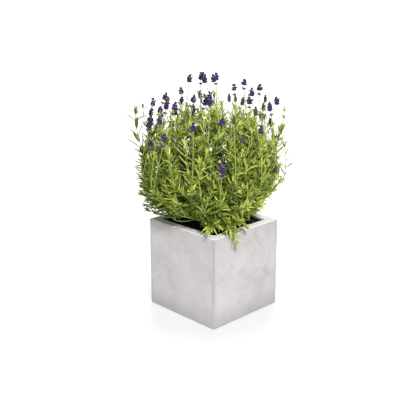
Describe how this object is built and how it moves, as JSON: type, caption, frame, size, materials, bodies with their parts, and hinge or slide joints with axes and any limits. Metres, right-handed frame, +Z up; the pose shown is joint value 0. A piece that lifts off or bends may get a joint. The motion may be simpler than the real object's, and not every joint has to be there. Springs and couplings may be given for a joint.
{
  "type": "planter box",
  "caption": "Square cast concrete planter box on rubber pads, with a drain hole and a lift-out liner holding soil and a flowering lavender.",
  "frame": {"origin": "middle of the footprint, on the ground under the foot pads", "axes": "+Z up, +X and +Y across the box's sides"},
  "size_m": [0.3342, 0.3328, 0.5245],
  "materials": {
    "concrete": "smooth cast concrete, light grey, cloudy",
    "rubber_pad": "matte",
    "liner_plastic": "satin black",
    "fired_clay": "rough fired clay",
    "fleece": "felted",
    "soil": "crumbly peat soil",
    "roots": "matted roots and soil",
    "bark": "rough bark",
    "leaves": "fine hairy leaf",
    "stalks": "soft green stalk",
    "flowers": "velvety"
  },
  "bodies": {
    "planter": {"concrete_box": "concrete", "foot_front_left": "rubber_pad", "foot_front_right": "rubber_pad", "foot_rear_left": "rubber_pad", "foot_rear_right": "rubber_pad"},
    "planting": {"liner": "liner_plastic", "clay_pebbles": "fired_clay", "filter_fleece": "fleece", "potting_soil": "soil", "root_ball": "roots", "woody_crown": "bark", "shoots_centre": "leaves", "shoots_right": "leaves", "shoots_rear_right": "leaves", "shoots_rear": "leaves", "shoots_rear_left": "leaves", "shoots_left": "leaves", "shoots_front_left": "leaves", "shoots_front": "leaves", "shoots_front_right": "leaves", "flower_stalks": "stalks", "flower_heads": "flowers"}
  },
  "joints": [
    {"name": "planting_lift", "type": "slide", "parent": "planter", "child": "planting", "axis": [0, 0, 1], "range_m": [0, 0.2]}
  ]
}
